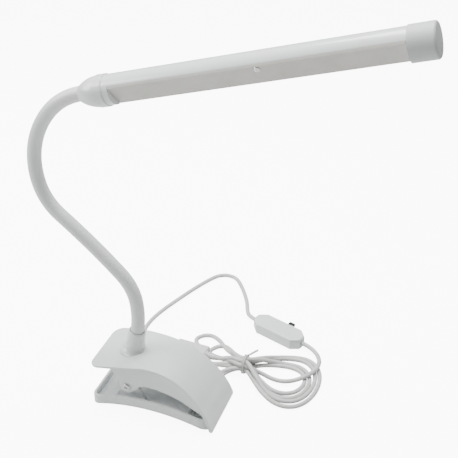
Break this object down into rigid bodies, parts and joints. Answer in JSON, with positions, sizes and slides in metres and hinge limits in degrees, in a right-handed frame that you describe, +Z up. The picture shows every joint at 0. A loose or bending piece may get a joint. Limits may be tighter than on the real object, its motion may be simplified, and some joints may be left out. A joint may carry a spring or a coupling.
{
  "type": "clip-on reading lamp",
  "caption": "Reading lamp with a spring clip, a bendable arm, a tube-shaped head with a frosted light strip, and a plug-in cord with an inline slide switch.",
  "frame": {"origin": "on the flat foot under the jaw tip, in the lamp's middle plane", "axes": "+X from the clip's handle to its tip, +Y across the clip towards the cord side, +Z up"},
  "size_m": [0.2653, 0.1935, 0.3154],
  "materials": {
    "white_gloss": "high gloss white moulding",
    "sleeve_white": "smooth satin white sleeve",
    "steel_core": "wound steel core",
    "bright_steel": "nickel plated",
    "spring_steel": "oiled spring wire",
    "grip_rubber": "grey ribbed rubber",
    "frosted": "frosted diffuser",
    "board_white": "white solder mask",
    "led_yellow": "phosphor faced packages",
    "resistor_black": "chip resistors",
    "wire_red": "insulated wire",
    "cord_white": "soft satin cable jacket",
    "switch_white": "glossy white switch shells",
    "knob_black": "black slide knob",
    "module_grey": "switch module housing",
    "contact_brass": "plated contacts",
    "tie_plastic": "twist tie",
    "plug_white": "moulded plug grip"
  },
  "bodies": {
    "clip_base": {"lower_jaw": "white_gloss", "lower_grip_pad": "grip_rubber", "hinge_pin": "bright_steel", "pin_ring": "bright_steel", "torsion_spring": "spring_steel", "cord_gland": "cord_white", "cord_lead": "cord_white", "switch_lower_shell": "switch_white", "switch_upper_shell": "switch_white", "switch_module": "module_grey", "switch_terminals": "contact_brass", "switch_screws": "bright_steel", "cord_tail": "cord_white", "cord_hank": "cord_white", "twist_tie": "tie_plastic", "cord_plug_run": "cord_white", "plug_strain_relief": "plug_white", "plug_grip": "plug_white", "plug_shell": "bright_steel", "plug_tongue": "switch_white", "plug_contacts": "contact_brass"},
    "upper_jaw": {"upper_jaw": "white_gloss", "upper_grip_pad": "grip_rubber", "socket_ferrule": "bright_steel", "socket_nut": "bright_steel", "arm_sleeve_1": "sleeve_white", "arm_core_1": "steel_core"},
    "arm_2": {"arm_sleeve_2": "sleeve_white", "arm_core_2": "steel_core"},
    "arm_3": {"arm_sleeve_3": "sleeve_white", "arm_core_3": "steel_core"},
    "arm_4": {"arm_sleeve_4": "sleeve_white", "arm_core_4": "steel_core"},
    "arm_5": {"arm_sleeve_5": "sleeve_white", "arm_core_5": "steel_core"},
    "arm_6": {"arm_sleeve_6": "sleeve_white", "arm_core_6": "steel_core"},
    "arm_7": {"arm_sleeve_7": "sleeve_white", "arm_core_7": "steel_core"},
    "head": {"arm_sleeve_8": "sleeve_white", "arm_core_8": "steel_core", "neck_bell": "white_gloss", "neck_ferrule": "bright_steel", "head_collar": "white_gloss", "head_tube": "white_gloss", "diffuser": "frosted", "lens_screw": "bright_steel", "led_board": "board_white", "leds": "led_yellow", "resistors": "resistor_black", "head_wires": "wire_red", "end_cap": "white_gloss"},
    "switch_knob": {"switch_knob": "knob_black"}
  },
  "joints": [
    {"name": "jaw_hinge", "type": "hinge", "parent": "clip_base", "child": "upper_jaw", "pos_m": [-0.064, 0, 0.0225], "axis": [0, -1, 0], "range_deg": [0, 30], "stiffness_Nm_per_rad": 0.7, "springref_deg": -40.11, "deforming": ["torsion_spring"]},
    {"name": "arm_bend_1", "type": "hinge", "parent": "upper_jaw", "child": "arm_2", "pos_m": [-0.06125, 0, 0.0864], "axis": [0, -1, 0], "range_deg": [-12, 20]},
    {"name": "arm_sway_low", "type": "hinge", "parent": "arm_2", "child": "arm_3", "pos_m": [-0.07182, 0, 0.10857], "axis": [-0.7193, 0, -0.6947], "range_deg": [-20, 20]},
    {"name": "arm_bend_2", "type": "hinge", "parent": "arm_3", "child": "arm_4", "pos_m": [-0.09412, 0, 0.1301], "axis": [0, -1, 0], "range_deg": [-12, 20]},
    {"name": "arm_bend_3", "type": "hinge", "parent": "arm_4", "child": "arm_5", "pos_m": [-0.11541, 0, 0.14829], "axis": [0, -1, 0], "range_deg": [-12, 20]},
    {"name": "arm_bend_4", "type": "hinge", "parent": "arm_5", "child": "arm_6", "pos_m": [-0.12946, 0, 0.17077], "axis": [0, -1, 0], "range_deg": [-12, 20]},
    {"name": "arm_sway_high", "type": "hinge", "parent": "arm_6", "child": "arm_7", "pos_m": [-0.12833, 0, 0.20288], "axis": [-0.9563, 0, 0.2924], "range_deg": [-20, 20]},
    {"name": "arm_bend_5", "type": "hinge", "parent": "arm_7", "child": "head", "pos_m": [-0.11417, 0, 0.22792], "axis": [0, -1, 0], "range_deg": [-12, 20]},
    {"name": "switch_slide", "type": "slide", "parent": "clip_base", "child": "switch_knob", "axis": [0.9455, -0.3256, 0], "range_m": [0, 0.0026]}
  ]
}
